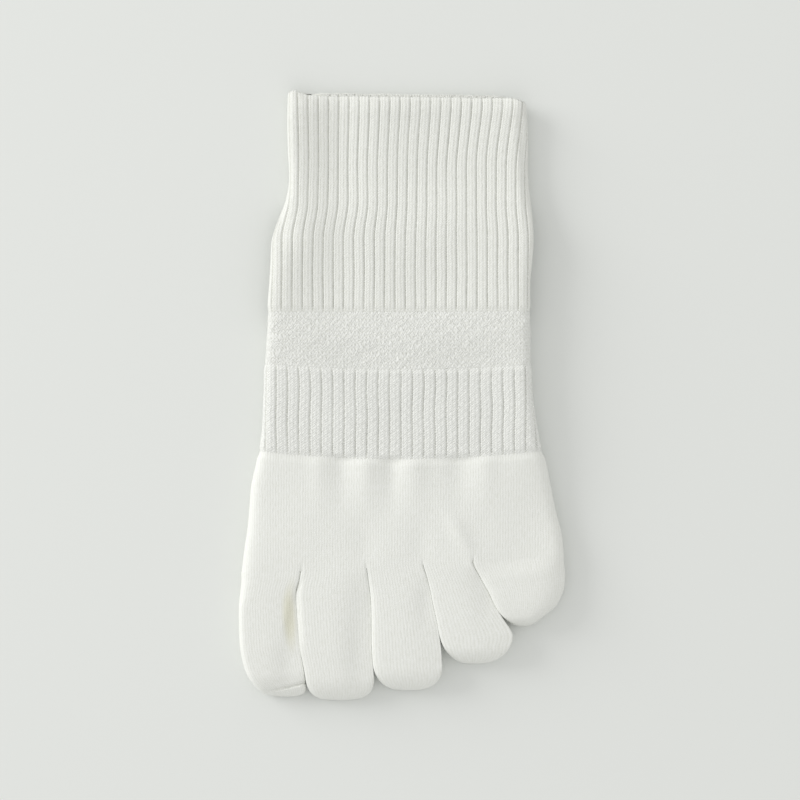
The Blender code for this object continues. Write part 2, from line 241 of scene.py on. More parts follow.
def cottonKnit(name, look):
    # Ring-spun cotton, machine knitted and washed: matt and faintly furry, with fine upright wales and painted
    # shade in the hollows of its relief
    material = bpy.data.materials.new(name)
    material.use_nodes = True
    tree = material.node_tree
    shader = tree.nodes["Principled BSDF"]
    for socket, value in knitShader.items():
        shader.inputs[socket].default_value = value

    place = addNode(tree, "ShaderNodeUVMap", {"uv_map": "knit"})
    across = addNode(tree, "ShaderNodeSeparateXYZ", {}, {0: place})
    along = across.node.outputs[1]
    stray = addNode(tree, "ShaderNodeTexNoise", {"Scale": 1 / (look["straySize"] * mm), "Detail": 3.0},
                    {"Vector": place})
    u = addNode(tree, "ShaderNodeMath", {"operation": "MULTIPLY_ADD", 1: look["wander"] * mm},
                {0: stray, 2: across})
    v = addNode(tree, "ShaderNodeMath", {"operation": "MULTIPLY_ADD", 1: 2 * look["wander"] * mm},
                {0: stray, 2: along})

    # Wales: columns of loops side by side, each loop two slanted strands that meet in a V
    count = addNode(tree, "ShaderNodeMath", {"operation": "DIVIDE", 1: look["wale"] * mm}, {0: u})
    side = addNode(tree, "ShaderNodeMath", {"operation": "PINGPONG", 1: 0.5}, {0: count})
    column = addNode(tree, "ShaderNodeMapRange",
                     {"interpolation_type": "SMOOTHSTEP", "From Max": look["crown"]}, {"Value": side})
    courses = 2 * math.pi / (look["course"] * mm)
    turn = addNode(tree, "ShaderNodeMath", {"operation": "MULTIPLY", 1: courses}, {0: v})
    slanted = addNode(tree, "ShaderNodeMath", {"operation": "MULTIPLY_ADD", 1: 4 * math.pi * look["slant"]},
                      {0: side, 2: turn})
    loops = addNode(tree, "ShaderNodeMath", {"operation": "SINE"}, {0: slanted})

    # Uneven yarn: long flecks along the wales, and fuzz
    stretch = addNode(tree, "ShaderNodeVectorMath", {"operation": "MULTIPLY", 1: look["fleckScale"]},
                      {0: place})
    flecks = addNode(tree, "ShaderNodeTexNoise", {"Scale": 1.0, "Detail": 3.0, "Roughness": 0.6},
                     {"Vector": stretch})
    fuzz = addNode(tree, "ShaderNodeTexNoise",
                   {"Scale": 1 / (look["fuzzSize"] * mm), "Detail": 3.0, "Roughness": 0.7}, {"Vector": place})
    height = addNode(tree, "ShaderNodeMath", {"operation": "MULTIPLY", 1: look["columnShare"]}, {0: column})
    for share, layer in (("loopShare", loops), ("fleckShare", flecks), ("fuzzShare", fuzz)):
        height = addNode(tree, "ShaderNodeMath", {"operation": "MULTIPLY_ADD", 1: look[share]},
                         {0: layer, 2: height})
    if "rib" in look:  # ladder of purl loops at the bottom of every groove
        ribs = addNode(tree, "ShaderNodeMath", {"operation": "DIVIDE", 1: look["rib"] * mm}, {0: across})
        ribSide = addNode(tree, "ShaderNodeMath", {"operation": "PINGPONG", 1: 0.5}, {0: ribs})
        groove = addNode(tree, "ShaderNodeMapRange",
                         {"From Max": look["groove"], "To Min": 1.0, "To Max": 0.0}, {"Value": ribSide})
        rungs = 2 * math.pi / (look["rung"] * mm)
        climb = addNode(tree, "ShaderNodeMath", {"operation": "MULTIPLY", 1: rungs}, {0: v})
        rung = addNode(tree, "ShaderNodeMath", {"operation": "SINE"}, {0: climb})
        rungDepth = -0.5 * look["rungShare"]
        depth = addNode(tree, "ShaderNodeMath", {"operation": "MULTIPLY_ADD", 1: rungDepth, 2: rungDepth},
                        {0: rung})
        height = addNode(tree, "ShaderNodeMath", {"operation": "MULTIPLY_ADD"},
                         {0: groove, 1: depth, 2: height})

    bump = addNode(tree, "ShaderNodeBump", {"Strength": 1.0, "Distance": look["relief"] * mm},
                   {"Height": height})
    tree.links.new(bump, shader.inputs["Normal"])
    # Painted shade: the colour darkens where the relief is low, in the grooves and between the loops, and also
    # follows the yarn's own uneven flecks
    shadeAndFleckTone = addNode(tree, "ShaderNodeMapRange", {"From Min": look["dark"], "From Max": look["light"]},
                   {"Value": height})
    colour = addNode(tree, "ShaderNodeMix", {"data_type": "RGBA", 6: linearColour(knitColours["paintedShadeAndFleck"]),
                                             7: linearColour(knitColours["crest"])}, {0: shadeAndFleckTone}, output=2)
    if "paintedFoldShade" in look:  # painted warm shade inside a fold, in place of the warmer light that bounces about in it
        paintedFoldShade = look["paintedFoldShade"]
        centre = [c * mm for c in paintedFoldShade["centre"]]
        radii = [r * mm for r in paintedFoldShade["radii"]]
        nearby = addNode(tree, "ShaderNodeVectorMath", {"operation": "SUBTRACT", 1: centre}, {0: place})
        scaled = addNode(tree, "ShaderNodeVectorMath", {"operation": "DIVIDE", 1: radii}, {0: nearby})
        away = addNode(tree, "ShaderNodeVectorMath", {"operation": "LENGTH"}, {0: scaled}, output=1)
        inside = addNode(tree, "ShaderNodeMapRange",
                         {"interpolation_type": "SMOOTHSTEP", "From Min": paintedFoldShade["outer"],
                          "From Max": paintedFoldShade["inner"], "To Max": paintedFoldShade["share"]}, {"Value": away})
        colour = addNode(tree, "ShaderNodeMix", {"data_type": "RGBA", 7: linearColour(knitColours["paintedFoldShade"])},
                         {0: inside, 6: colour}, output=2)
    tree.links.new(colour, shader.inputs["Base Color"])
    return material


# Looks of the knits: sizes in mm, weights of the relief's layers; the fleck scale is per metre

# Plain knit, single jersey: fine even wales, matt, with soft long flecks
plainLook = {"wale": 0.96, "course": 0.75, "slant": 0.6, "wander": 0.9, "straySize": 2.6, "crown": 0.42,
             "columnShare": 0.26, "loopShare": 0.12, "fleckShare": 0.8, "fleckScale": (1250, 420, 1),
             "fuzzShare": 0.45, "fuzzSize": 0.7, "relief": 0.13, "dark": -0.2, "light": 1.0}

# Rib knit, three wales and a purl groove by turns: soft columns with a faint ladder between them
ribLook = dict(plainLook, wale=1.215, course=0.9, wander=0.5, columnShare=0.35, loopShare=0.22, fleckShare=0.9,
               light=1.2, relief=0.19, rib=3.645, groove=0.14, rung=0.9, rungShare=0.7)

# Rib with tuck stitches, knitted tight to grip the arch: columns broken by small crossways bumps
archLook = dict(plainLook, wale=1.34, course=0.9, wander=0.5, columnShare=0.30, loopShare=0.3, fleckShare=0.9,
                fleckScale=(1250, 800, 1), fuzzShare=0.8, relief=0.22, rib=4.03, groove=0.14, rung=0.9,
                rungShare=0.8)

# Staggered tuck stitches in thicker loops: small uneven pebbles, no upright lines
pebbleLook = dict(plainLook, wale=1.3, course=1.3, loopShare=0.3, fleckScale=(900, 800, 1), fleckShare=1.1,
                  fuzzShare=0.6, relief=0.26, wander=1.4, light=1.15)

# The plain knit of the big toe, with a painted warm shade inside its fold
paintedFoldShadeLook = dict(plainLook, paintedFoldShade={"centre": (-38.4, 184.0, 0), "radii": (2.8, 14.0, 1), "outer": 1.2,
                                   "inner": 0.3, "share": 0.5})

plainKnit = cottonKnit("cottonPlainKnit", plainLook)
ribKnit = cottonKnit("cottonRibKnit", ribLook)
archKnit = cottonKnit("cottonTuckRibKnit", archLook)
pebbleKnit = cottonKnit("cottonPebbleKnit", pebbleLook)
paintedFoldShadeKnit = cottonKnit("cottonPlainKnitPaintedFoldShade", paintedFoldShadeLook)


# Dents and, with a negative depth, soft ridges of the upper face, in mm
dents = {
    "leftFold": {"fromCuff": 47, "x": -43, "slant": 0.0, "long": 8, "wide": 4.5, "depth": 1.6},
    "rightFold": {"fromCuff": 24, "x": 43.5, "slant": 0.05, "long": 17, "wide": 1.5, "depth": 0.9},
    "leftTrough": {"fromCuff": 22, "x": -23, "slant": 0.0, "long": 42, "wide": 9, "depth": 1.6},
    "rightHollow": {"fromCuff": 88, "x": 40, "slant": 0.0, "long": 7, "wide": 7, "depth": 0.25},
    "rightSwell": {"fromCuff": 112, "x": 45, "slant": 0.06, "long": 17, "wide": 10, "depth": -1.6},
    "rightDroop": {"fromCuff": 150, "x": 53, "slant": 0.0, "long": 20, "wide": 15, "depth": 1.5},
    "littleToeRidge": {"fromCuff": 156, "x": 20.5, "slant": 0.45, "long": 8, "wide": 3.2, "depth": -0.7},
    "secondToeHollow": {"fromCuff": 160, "x": -13, "slant": 0.0, "long": 9, "wide": 5, "depth": 0.45},
    "thirdToeHollow": {"fromCuff": 158, "x": 7, "slant": 0.0, "long": 8, "wide": 4, "depth": 0.35},
}

# Wide sag of the leg's upper face, in mm: where it begins and ends, and how softly
legSag = {"from": -8, "opens": 20, "to": 88, "closes": 22, "x": 6, "half": 47, "depth": 2.1}

# Slow uneven lumps all over the upper face, in mm
lumps = {"tall": 0.22, "long": 7.5, "wide": 9}

# Soft pleats under the arch band, in mm: their start, rise and length, then middle, width and height
pleatsFrom, pleatsRise, pleatsLong = 127.5, 3, 23
pleats = [(-29.5, 3.2, 0.5), (-21.5, 3.4, -0.9), (-12.5, 3.8, 1.0), (-3.6, 3.2, -1.1), (4.6, 4.4, 0.9),
          (20.5, 4.6, -1.0), (30.0, 3.8, 0.6)]


def upperRelief(fromCuff, x, z, top):
    # Sag, dents and pleats of the upper face in mm, none at the belly
    upper = smoothStep(2 * z / top - 0.9)
    opened = smoothStep((fromCuff - legSag["from"]) / legSag["opens"])
    trough = opened * smoothStep((legSag["to"] - fromCuff) / legSag["closes"])
    relief = -trough * legSag["depth"] * np.clip(1 - ((x - legSag["x"]) / legSag["half"]) ** 2, 0, 1)
    for dent in dents.values():
        along = fromCuff - dent["fromCuff"]
        across = x - dent["x"] - dent["slant"] * along
        relief = relief - dent["depth"] * bell(along, dent["long"]) * bell(across, dent["wide"])
    relief = relief + lumps["tall"] * ripple(fromCuff / lumps["long"], x / lumps["wide"], 3)
    below = fromCuff - pleatsFrom
    rise = smoothStep((below + pleatsRise) / pleatsRise)
    fade = np.where(below > -pleatsRise, np.clip(1 - below / pleatsLong, 0, 1) ** 1.3 * rise, 0)
    for middle, width, tall in pleats:
        relief = relief + tall * fade * bell(x - middle, width)
    return relief * upper


def ribProfile(phase):  # 0 on a rib's crest, 1 in the groove beside it
    side = np.abs(2 * (phase - np.floor(phase)) - 1)
    return 0.3 * side**2.2 + 0.7 * side**12


def tubeRing(fromCuff, columns, wall, spec):
    # One row of points round the sock: wall 0 is the outside, any other the lining
    left = smoothRow(fromCuff, outline["fromCuff"], outline["left"]) + wall
    right = smoothRow(fromCuff, outline["fromCuff"], outline["right"]) - wall
    top = smoothRow(fromCuff, heights["fromCuff"], heights["top"])
    belly = max(0.0, float(smoothRow(fromCuff, heights["fromCuff"], heights["belly"])))
    section = flatSection(left, right, belly + wall, top - wall)
    placed = columns + spec["wander"](fromCuff, columns)
    x, z = columnsOnSection(section, spec["count"], spec["pitch"], spec["anchor"], placed)
    if wall == 0:
        nx, nz = ringNormals(x, z)
        lift = spec["relief"](fromCuff, columns)
        x = x + nx * lift
        z = z + nz * lift
    z = z + upperRelief(fromCuff, x, z - belly, top - belly) * (1 if wall == 0 else liningShare)
    z = np.maximum(z, belly + wall)
    y = cuffY / mm - fromCuff + bandBow(fromCuff, x)
    return np.stack([x + midX / mm, y, z], axis=-1)


def endsDoubled(places):  # a second row close to each end keeps the light even right up to the edge
    first, last = places[0], places[-1]
    return np.concatenate([[first, first + endStep], places[1:-1], [last - endStep, last]])


def tubePiece(name, spec):
    # A hollow tube: rows down the outside, back up the lining and round the edge to the first row
    count = spec["count"]
    columns = np.linspace(-count / 2, count / 2, spec["columns"] + 1)
    outer = endsDoubled(np.linspace(spec["from"], spec["to"], spec["rows"] + 1))
    inner = np.linspace(spec["to"], spec["from"], spec["liningRows"] + 1)
    rings = [tubeRing(place, columns, 0, spec) for place in outer]
    lining = [tubeRing(place, columns, spec["wall"], spec) for place in inner]
    edge = spec.get("edge")
    if edge:
        rings, lining = edge(rings, lining, columns, spec)
    points = np.array(rings + lining + [rings[0]])
    along = list(outer) + list(inner) + [spec["from"]] * (len(points) - len(outer) - len(inner))
    return gridPiece(name, points, columns * spec["pitch"], along)


def straight(fromCuff, columns):  # columns that keep their places
    return 0.0 * columns


# The leg's ribs, sideways in ribs and the rest in mm: crowding over the sag, drift, depth, ends
legRibs = {
    "crowdHalf": 13, "crowdFade": 10, "crowdBy": 27, "shift": 0.29, "crowd": 0.036,
    "driftFrom": 38, "driftLong": 14, "drift": 0.52, "sway": 0.035,
    "depth": 0.49, "uneven": 0.11, "fadeLong": 2.2,
    "weltLow": 0.25, "weltFrom": 0.3, "weltLong": 1.9, "lip": 0.25, "lipLong": 1.2,
}


def legWander(fromCuff, columns):
    # Ribs stand straight at the cuff, crowd together over the sag, then drift half a rib to the left
    half = legRibs["crowdHalf"]
    side = np.clip(columns, -half, half) * (1 - smoothStep((np.abs(columns) - half) / legRibs["crowdFade"]))
    crowd = smoothStep(fromCuff / legRibs["crowdBy"])
    drift = smoothStep((fromCuff - legRibs["driftFrom"]) / legRibs["driftLong"])
    sway = legRibs["sway"] * ripple(fromCuff / 6, columns / 2.2, 11)
    crowded = crowd * (1 - drift) * (-legRibs["shift"] - legRibs["crowd"] * side)
    return crowded - legRibs["drift"] * drift + sway


def legRelief(fromCuff, columns):
    # Grooves between the ribs, shallow at the cuff's edge and gone where the ankle band begins
    fade = smoothStep((ankleLine - fromCuff) / legRibs["fadeLong"])
    weltRise = smoothStep((fromCuff - legRibs["weltFrom"]) / legRibs["weltLong"])
    welt = legRibs["weltLow"] + (1 - legRibs["weltLow"]) * weltRise
    depth = legRibs["depth"] + legRibs["uneven"] * ripple(fromCuff / 9, columns / 1.7, 5)
    lip = legRibs["lip"] * (1 - smoothStep(fromCuff / legRibs["lipLong"]))
    return -depth * fade * welt * ribProfile(columns) - bandDip * (1 - fade) - lip


# The cuff's edge: rows that follow it, then in mm its bulging ribs, its corners and its far side
cuff = {
    "rows": 16, "bulgeFrom": 4, "bulgeRows": 8, "liningRows": 3, "liftRows": 1.5,
    "bulge": 0.28, "uneven": 0.14, "setBack": 1.35,
    "cornerX": -38.5, "cornerWide": 3.2, "corner": 1.7, "hangX": 39, "hangWide": 5, "hang": 1.2,
    "farSide": 1.9, "farCorners": 0.9, "farLift": 2.0, "nearDrop": 2.3, "lip": 0.35,
    "farFrom": 12.2, "farFade": 1.6, "nearTo": 12.4, "nearFade": 2.5, "farLeft": -36, "farRight": 41,
    "farUneven": 0.15,
}


def cuffEdge(rings, lining, columns, spec):
    # Ribs end in small bulges, the left corner stands up, the right one hangs and the far side shows
    x = rings[0][:, 0] - midX / mm
    bulge = cuff["bulge"] * (1 - ribProfile(columns)) + cuff["uneven"] * ripple(columns, columns * 0.3, 21)
    corner = cuff["corner"] * bell(x - cuff["cornerX"], cuff["cornerWide"])
    corner = corner - cuff["hang"] * smoothStep((x - cuff["hangX"]) / cuff["hangWide"])
    under = smoothStep((np.abs(columns) - cuff["farFrom"]) / cuff["farFade"])
    over = smoothStep((cuff["nearTo"] - np.abs(columns)) / cuff["nearFade"])
    middle = smoothStep((x - cuff["farLeft"]) / 5) * smoothStep((cuff["farRight"] - x) / 4)
    behind = under * (cuff["farSide"] * middle - cuff["farCorners"])
    uneven = 1.0 + cuff["farUneven"] * ripple(columns / 2, columns * 0, 22)
    shift = bulge + corner - cuff["setBack"] + behind * uneven
    lift = cuff["farLift"] * under - cuff["nearDrop"] * over
    for k, ring in enumerate(rings[:cuff["rows"]]):
        fade = max(0.0, 1 - k / cuff["rows"])
        later = bulge * (k > cuff["bulgeFrom"])
        ring[:, 1] += (shift - later) * fade + later * max(0.0, 1 - k / cuff["bulgeRows"])
        ring[:, 2] += lift * fade ** 2
    for k, ring in enumerate(lining[::-1][:cuff["liningRows"]]):
        ring[:, 1] += shift * (1 - k / cuff["liningRows"])
        ring[:, 2] += lift * max(0.0, 1 - k / cuff["liftRows"]) ** 2
    lip = (rings[0] + lining[-1]) / 2
    lip[:, 1] += cuff["lip"]
    return rings, lining + [lip]


legSpec = {
    "from": cuffLine, "to": ankleLine, "count": 52, "pitch": 3.645, "anchor": -0.5,
    "columns": 572, "rows": 140, "liningRows": 16, "wall": 1.9,
    "wander": legWander, "relief": legRelief, "edge": cuffEdge,
}


# Pebbles of the ankle band: how many to a column's pitch, their course and heights in mm
pebbles = {"toPitch": 2.0, "course": 1.25, "tall": 0.07, "loose": 0.6, "ground": 0.07}


def ankleRelief(fromCuff, columns):
    # Pebbly tuck knit: staggered small bumps over a loose uneven ground
    u = columns * pebbles["toPitch"]
    v = fromCuff / pebbles["course"]
    loose = ripple(u * 1.1, v * 0.9, 9)
    pebble = np.sin(math.pi * u + 1.2 * loose) * np.sin(math.pi * v + 1.6 * ripple(u / 1.4, v / 1.2, 19))
    bump = pebbles["tall"] * pebble * (1 + pebbles["loose"] * loose)
    return bump + pebbles["ground"] * loose - bandDip


ankleSpec = {
    "from": ankleLine, "to": archLine, "count": 68, "pitch": 2.75, "anchor": 0.0,
    "columns": 680, "rows": 58, "liningRows": 4, "wall": 1.8, "wander": straight, "relief": ankleRelief,
}


# The arch's ribs: sway in ribs, then depth, tuck bumps and how long the grooves take to open, in mm
archRibs = {"sway": 0.05, "depth": 0.44, "uneven": 0.10, "tuck": 0.06, "tucksAcross": 3, "tuckCourse": 1.3,
            "opens": 1.8, "closes": 2.0}


def archWander(fromCuff, columns):  # ribs sway a little
    return archRibs["sway"] * ripple(fromCuff / 4, columns / 2, 31)


def archRelief(fromCuff, columns):
    # Grooves and tuck bumps, gone at both of the band's edges
    opened = smoothStep((fromCuff - archLine) / archRibs["opens"])
    edge = opened * smoothStep((footLine - fromCuff) / archRibs["closes"])
    tuck = np.sin(math.pi * columns * archRibs["tucksAcross"])
    tuck = tuck * np.sin(math.pi * fromCuff / archRibs["tuckCourse"])
    depth = archRibs["depth"] + archRibs["uneven"] * ripple(fromCuff / 5, columns / 1.3, 33)
    return -depth * edge * ribProfile(columns) + archRibs["tuck"] * edge * tuck - bandDip * (1 - edge)


archSpec = {
    "from": archLine, "to": footLine, "count": 48, "pitch": 4.03, "anchor": -0.3,
    "columns": 576, "rows": 96, "liningRows": 4, "wall": 1.9, "wander": archWander, "relief": archRelief,
}


# Toes: both sides in mm from the middle at steps below the toe line, and how each tip rounds off
toeSteps = [-4, 0, 5, 10, 15, 20, 25, 30, 35, 40, 45, 49]
toes = {
    "toe_big": {
        "left": [-56.6, -57.0, -57.5, -57.9, -58.1, -58.1, -58.0, -57.7, -57.0, -56.4, -55.4, -55.0],
        "right": [-35.64, -35.64, -36.34, -37.64, -37.54, -37.24, -36.84, -36.34, -35.4, -34.6, -34.1, -33.9],
        "reach": 48.0, "tip": -43.0, "roundFrom": (0.60, 0.90), "blunt": (2.6, 3.2), "tall": 9.3,
        "shoulder": (15.0, 30.0), "droop": 0.08, "meets": (0.5, 1.0)},
    "toe_second": {
        "left": [-35.6, -35.6, -36.3, -37.6, -37.5, -37.2, -36.8, -36.3, -35.3, -34.4, -33.8, -33.5],
        "right": [-12.64, -12.64, -12.04, -11.34, -10.94, -10.84, -10.84, -10.74, -10.44, -9.94, -9.54, -9.34],
        "reach": 49.2, "tip": -22.4, "roundFrom": (0.82, 0.78), "blunt": (3.0, 3.0), "tall": 9.5,
        "shoulder": (9.0, 40.0), "droop": 0.17, "meets": (0.93, 1.0)},
    "toe_third": {
        "left": [-12.6, -12.6, -12.0, -11.3, -10.9, -10.8, -10.8, -10.7, -10.4, -9.9, -9.5, -9.3],
        "right": [7.46, 7.46, 8.96, 10.16, 11.16, 12.26, 13.16, 13.9, 14.2, 14.4, 14.4, 14.4],
        "reach": 45.7, "tip": 2.2, "roundFrom": (0.76, 0.78), "blunt": (2.6, 2.6), "tall": 9.5,
        "shoulder": (9.0, 30.0), "droop": 0.10, "meets": (0.87, 1.0)},
    "toe_fourth": {
        "left": [7.5, 7.5, 9.0, 10.2, 11.2, 12.3, 13.2, 14.0, 14.8, 15.1, 15.3, 15.4],
        "right": [24.96, 25.26, 27.86, 30.66, 33.06, 36.26, 39.3, 39.5, 39.4, 39.3, 39.2, 39.0],
        "reach": 36.2, "tip": 25.6, "roundFrom": (0.65, 0.65), "blunt": (2.4, 2.4), "tall": 9.4,
        "shoulder": (9.0, 30.0), "droop": 0.13, "meets": (0.94, 1.0)},
    "toe_little": {
        "left": [25.0, 25.3, 27.9, 30.7, 33.1, 36.3, 39.4, 40.5, 41.0, 41.0, 41.0, 41.0],
        "right": [57.5, 57.9, 58.2, 57.5, 55.1, 50.4, 49.0, 48.0, 47.0, 47.0, 47.0, 47.0],
        "reach": 22.9, "tip": 43.4, "roundFrom": (0.72, 0.68), "blunt": (2.4, 2.2), "tall": 9.8,
        "shoulder": (9.0, 3.8), "droop": 0.08, "meets": (0.87, 0.5)},
}
toeNames = list(toes)
crotches = [toes[name]["left"][1] for name in toeNames] + [footRight]
crotchLow = 0.92  # height share left where two toes part
crotchNarrow = 30  # how narrow that dip is
crotchLong = 4.5  # how far it runs up the foot, in mm
footRise = 3.0  # how far the foot takes to rise from under the arch band, in mm


def crotchShare(across, first, last):  # 1 over a toe's middle, low at the sides where it leaves its neighbours
    drop = 1 - np.sqrt(np.clip(1 - np.abs(across) ** crotchNarrow, 0, 1))
    drop = np.where((across < 0) & first | (across > 0) & last, 0, drop)
    return 1 - (1 - crotchLow) * drop


def toeScallop(x):  # the same share along the whole front edge of the foot
    edges = np.array(crotches)
    i = np.clip(np.searchsorted(edges, x) - 1, 0, 4)
    across = np.clip((x - (edges[i] + edges[i + 1]) / 2) / ((edges[i + 1] - edges[i]) / 2), -1, 1)
    return crotchShare(across, i == 0, i == 4)


def footRelief(fromCuff, columns):
    return 0.0 * columns - bandDip * (1 - smoothStep((fromCuff - footLine) / footRise))


def footEnd(rings, lining, columns, spec):
    # Where the toes part the upper face dips to small pits
    outer = np.linspace(spec["from"], spec["to"], len(rings))
    for ring, place in zip(rings, outer):
        ramp = smoothStep((place - (toeLine - crotchLong)) / crotchLong) ** 1.5
        share = toeScallop(ring[:, 0] - midX / mm)
        ring[:, 2] *= 1 - ramp * (1 - share)
    return rings, lining


footSpec = {
    "from": footLine, "to": toeLine, "count": 60, "pitch": 3.9, "anchor": 0.0,
    "columns": 600, "rows": 90, "liningRows": 5, "wall": 1.8,
    "wander": straight, "relief": footRelief, "edge": footEnd,
}

leg = tubePiece("legKnit", legSpec)
dressNode(leg, "leg_rib", ribKnit)
ankle = tubePiece("ankleKnit", ankleSpec)
dressNode(ankle, "ankle_heel", pebbleKnit)
arch = tubePiece("archKnit", archSpec)
dressNode(arch, "arch_rib", archKnit)
foot = tubePiece("footKnit", footSpec)
dressNode(foot, "foot_body", plainKnit)


# The heel's pouch, folded flat under the leg: place and size in mm, thickness shares, rows
heelPouch = {
    "from": 88.8, "reach": 43.2, "halfWidth": 37.0, "thick": 4.0, "rest": 0.1, "wall": 1.6, "round": 2.4,
    "edgeThick": 0.85, "middleThick": 0.15, "tipThick": 0.02,
    "pucker": 0.12, "columns": 181, "rows": 71, "liningRows": 9, "around": 156,
}


def heelRing(share, wall, columns):
    root = heelPouch["from"] - wall
    place = root - share * (heelPouch["reach"] - 2 * wall)
    narrow = max(0.0, 1 - share ** heelPouch["round"]) ** (1 / heelPouch["round"])
    half = (heelPouch["halfWidth"] - wall) * narrow + 0.01
    taper = heelPouch["edgeThick"] + heelPouch["middleThick"] * narrow
    if share >= 1:
        taper = heelPouch["tipThick"]
    thick = (heelPouch["thick"] - 2 * wall) * taper
    x, z, s = flatSection(-half, half, 0, max(thick - flattened, 0.01))
    at = np.linspace(0, s[-1], columns)
    x, z = np.interp(at, s, x), np.interp(at, s, z)
    pucker = heelPouch["pucker"] * ripple(x / 4, share * 9, 41) * (z > thick * 0.4) * (share < 1)
    y = np.full_like(x, cuffY / mm - place)
    rest = heelPouch["rest"]
    return np.stack([x, y, np.maximum(z + wall * taper + rest + pucker, rest)], axis=-1)


def heelPiece():
    columns = heelPouch["columns"]
    shares = np.sin(np.linspace(0, 1, heelPouch["rows"]) * math.pi / 2)
    innerShares = np.linspace(1, 0, heelPouch["liningRows"])
    outer = [heelRing(share, 0, columns) for share in shares]
    inner = [heelRing(share, heelPouch["wall"], columns) for share in innerShares]
    points = np.array(inner + outer)
    along = np.concatenate([innerShares, shares]) * heelPouch["reach"]
    piece = gridPiece("heelPouchKnit", points, np.linspace(0, heelPouch["around"], columns), along)
    dressNode(piece, "ankle_heel", plainKnit)


heelPiece()


def footEdgeSection(x):  # upper and lower face of the foot where the toes part
    across = (2 * x - footLeft - footRight) / (footRight - footLeft)
    bend = np.sqrt(1 - np.clip(np.abs(across), 0, 1) ** squareness)
    tall = (footTall + flattened) / 2
    return tall * (1 + bend) - flattened, np.maximum(tall * (1 - bend) - flattened, 0)


def toeSide(toe, side, below, fade):  # a side's place, read at its own height on the slanting rows
    x = float(smoothRow(below, toeSteps, toe[side]))
    for _ in range(3):
        x = float(smoothRow(below - float(bandBow(toeLine, x)) * fade, toeSteps, toe[side]))
    return x


# Hollows on the toes, in mm: the fold beside the second toe, the big toe's tip crease, the soft troughs
bigFold = {"below": [0, 4.6, 10, 17, 21.7, 27.8, 31],
           "side": [-35.0, -37.6, -40.4, -42.0, -43.0, -42.0, -40.5],
           "opens": (0.5, 5), "closes": (31.5, 11), "depth": 0.6, "slope": 3.6, "flank": 2.4}
tipCrease = {"x": [-50, -45.5, -40, -36, -33], "below": [45.9, 45.0, 43.9, 42.9, 42.2], "depth": 0.9,
             "wide": 0.5, "fadeWide": 4, "sink": 0.4, "sinkLong": 6, "past": 0.6}
troughs = {
    "toe_big": [(-40.5, 36, 4.5, 9, 0.7)],  # x, distance below the toe line, width, length, depth
    "toe_second": [(-15.4, 30, 4.2, 16, 0.6)],
    "toe_third": [(8.5, 14, 3.0, 8, 0.4)],
    "toe_fourth": [(30.5, 15, 4.5, 8, 0.35)],
    "toe_little": [],
}


def toeRelief(node, x, below):
    relief = np.zeros_like(x)
    for middle, along, wide, long, depth in troughs[node]:
        relief = relief - depth * bell(x - middle, wide) * bell(below - along, long)
    opens, closes = bigFold["opens"], bigFold["closes"]
    opened = float(smoothStep((below - opens[0]) / opens[1]) * smoothStep((closes[0] - below) / closes[1]))
    if node == "toe_second":  # its flank beside the fold
        relief = relief - bigFold["depth"] * opened * (1 - smoothStep((x - x[0]) / bigFold["flank"]))
    if node == "toe_big":
        side = float(smoothRow(below, bigFold["below"], bigFold["side"]))
        relief = relief - bigFold["depth"] * opened * smoothStep((x - side) / bigFold["slope"])
        crease = np.interp(x, tipCrease["x"], tipCrease["below"])
        fade = smoothStep((x - tipCrease["x"][0]) / tipCrease["fadeWide"])
        relief = relief - tipCrease["depth"] * fade * bell(below - crease, tipCrease["wide"])
        sunk = smoothStep((below - crease + tipCrease["sinkLong"]) / tipCrease["sinkLong"])
        relief = relief - tipCrease["sink"] * fade * sunk * (below < crease + tipCrease["past"])
    return relief


# Every toe's build: shares of its length where root, slant, slope and tip begin or end, its rows and wall
toeBuild = {
    "rootShare": 0.28, "slantShare": 0.9, "slope": 0.15, "slopeFrom": 0.5, "slopeLong": 0.5, "tipFrom": 0.80,
    "tipLong": 0.20, "tipRound": 2.6, "tipPower": 4.0, "tipMeets": 0.5, "lean": 0.02, "reliefFrom": 0.13,
    "columns": 241, "rows": 150, "liningRows": 9, "wall": 1.7, "wallShare": 0.45,
    "points": 400, "least": 0.002,
}


def toePlan(toe, share, below, fade, rootward, first, last):
    # Both sides, rounded off towards the tip; the outer ones start where the foot ends
    sides = []
    for k, side in enumerate(("left", "right")):
        rounding = max(0.0, (share - toe["roundFrom"][k]) / (1 - toe["roundFrom"][k]))
        narrow = max(0.0, 1 - rounding ** toe["blunt"][k]) ** (1 / toe["blunt"][k])
        sides.append(toe["tip"] + (toeSide(toe, side, below, fade) - toe["tip"]) * narrow)
    if first:
        sides[0] += (footLeft - sides[0]) * rootward
    if last:
        sides[1] += (footRight - sides[1]) * rootward
    return sides


def toeFaces(toe, share, across):
    # Upper and lower face, sloping down towards the tip and rounded off there, as the ending goes to 0
    slope = 1 - toeBuild["slope"] * max(0.0, (share - toeBuild["slopeFrom"]) / toeBuild["slopeLong"]) ** 2
    tipward = (share - toeBuild["tipFrom"]) / toeBuild["tipLong"]
    ending = max(0.0, 1 - max(0.0, tipward) ** toeBuild["tipRound"]) ** 0.5
    height = toe["tall"] * slope * ending
    puffy = float(smoothStep(tipward))
    power = np.where(across < 0, toe["shoulder"][0], toe["shoulder"][1])
    power = power + (toeBuild["tipPower"] - power) * puffy
    bend = np.sqrt(np.clip(1 - np.abs(across) ** power, 0, 1))
    leftLean = toeBuild["lean"] * np.clip(-across, 0, 1) ** 2
    lean = 1 - leftLean - toe["droop"] * np.clip(across + 0.2, 0, 1.2) ** 2 / 1.44
    meets = np.where(across < 0, toe["meets"][0], toe["meets"][1])
    meets = meets + (toeBuild["tipMeets"] - meets) * puffy
    upper = height * (meets + (1 - meets) * bend) * lean
    lower = height * (meets - meets * bend) * lean
    lower = np.maximum(lower * (1 + flattened / 4) - flattened * ending, 0)
    return upper, lower, ending


